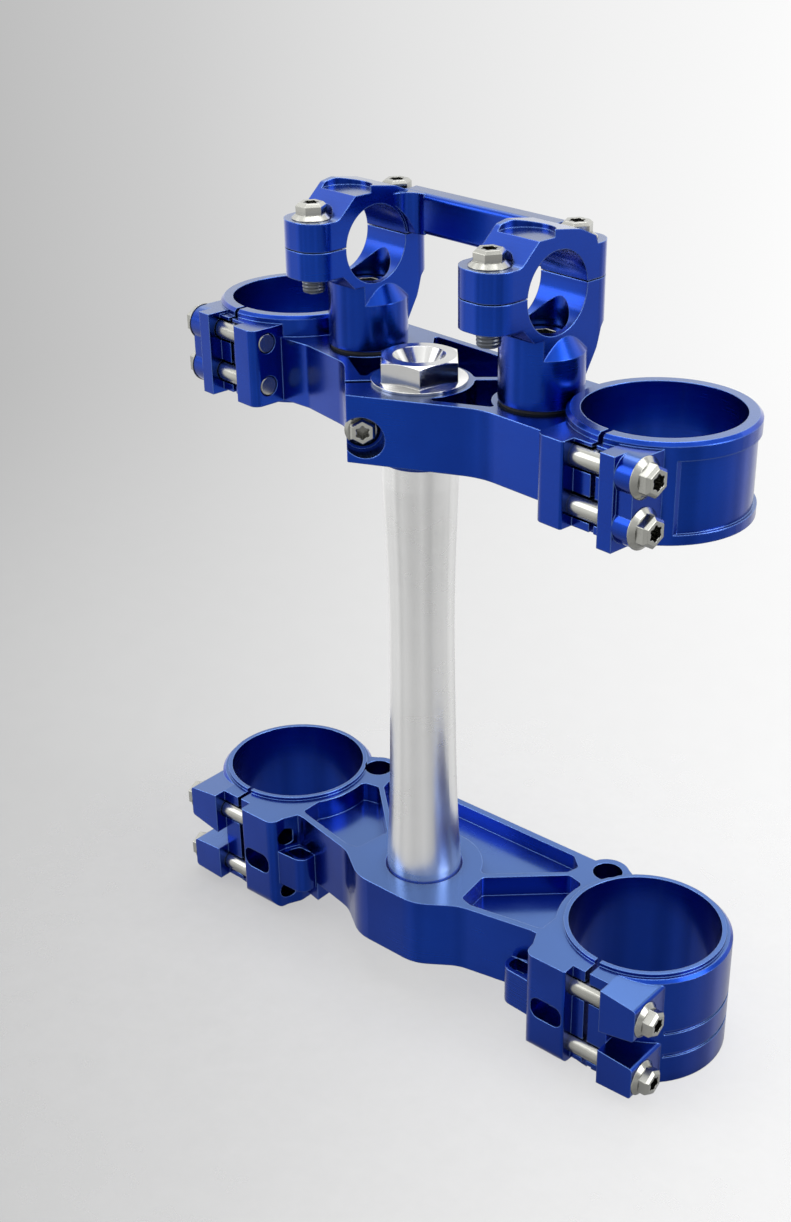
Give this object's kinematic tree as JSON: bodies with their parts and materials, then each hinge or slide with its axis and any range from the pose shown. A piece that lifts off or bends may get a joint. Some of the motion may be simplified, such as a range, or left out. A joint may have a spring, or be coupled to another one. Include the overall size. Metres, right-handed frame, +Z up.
{
  "type": "motorcycle triple clamp",
  "caption": "Upper and lower fork clamps on a hollow steering stem, with split fork rings, pocketed webs, rubber-mounted bar risers and a bridged handlebar clamp.",
  "frame": {"origin": "on the steering axis, at the lower mouth of the hollow stem", "axes": "+Z up the steering stem, +Y to the front of the bike, +X to its right"},
  "size_m": [0.2536, 0.0971, 0.3176],
  "materials": {
    "anodised_blue": "deep blue anodised, machined, glossy",
    "bare_aluminium": "fine turned, bare",
    "bright_steel": "zinc plated, satin",
    "rubber": "matt black"
  },
  "bodies": {
    "lower": {"lower_clamp": "anodised_blue", "steering_stem": "bare_aluminium", "stem_bolt": "bare_aluminium", "lower_clamp_bolt_left_upper": "bright_steel", "lower_clamp_bolt_left_lower": "bright_steel", "lower_clamp_bolt_right_upper": "bright_steel", "lower_clamp_bolt_right_lower": "bright_steel"},
    "upper": {"upper_clamp": "anodised_blue", "stem_pinch_bolt": "bright_steel", "handlebar_clamp": "anodised_blue", "upper_clamp_bolt_left_upper": "bright_steel", "upper_clamp_bolt_left_lower": "bright_steel", "bar_mount_left": "anodised_blue", "bar_bolt_left_rear": "bright_steel", "bar_bolt_left_front": "bright_steel", "upper_bushing_left": "rubber", "lower_bushing_left": "rubber", "mount_washer_left": "bright_steel", "mount_nut_left": "bright_steel", "mount_bolt_left": "bright_steel", "upper_clamp_bolt_right_upper": "bright_steel", "upper_clamp_bolt_right_lower": "bright_steel", "bar_mount_right": "anodised_blue", "bar_bolt_right_rear": "bright_steel", "bar_bolt_right_front": "bright_steel", "upper_bushing_right": "rubber", "lower_bushing_right": "rubber", "mount_washer_right": "bright_steel", "mount_nut_right": "bright_steel", "mount_bolt_right": "bright_steel"}
  },
  "joints": [
    {"name": "upper_clamp_turn", "type": "hinge", "parent": "lower", "child": "upper", "pos_m": [0, 0, 0.2], "axis": [0, 0, 1], "continuous": true}
  ]
}
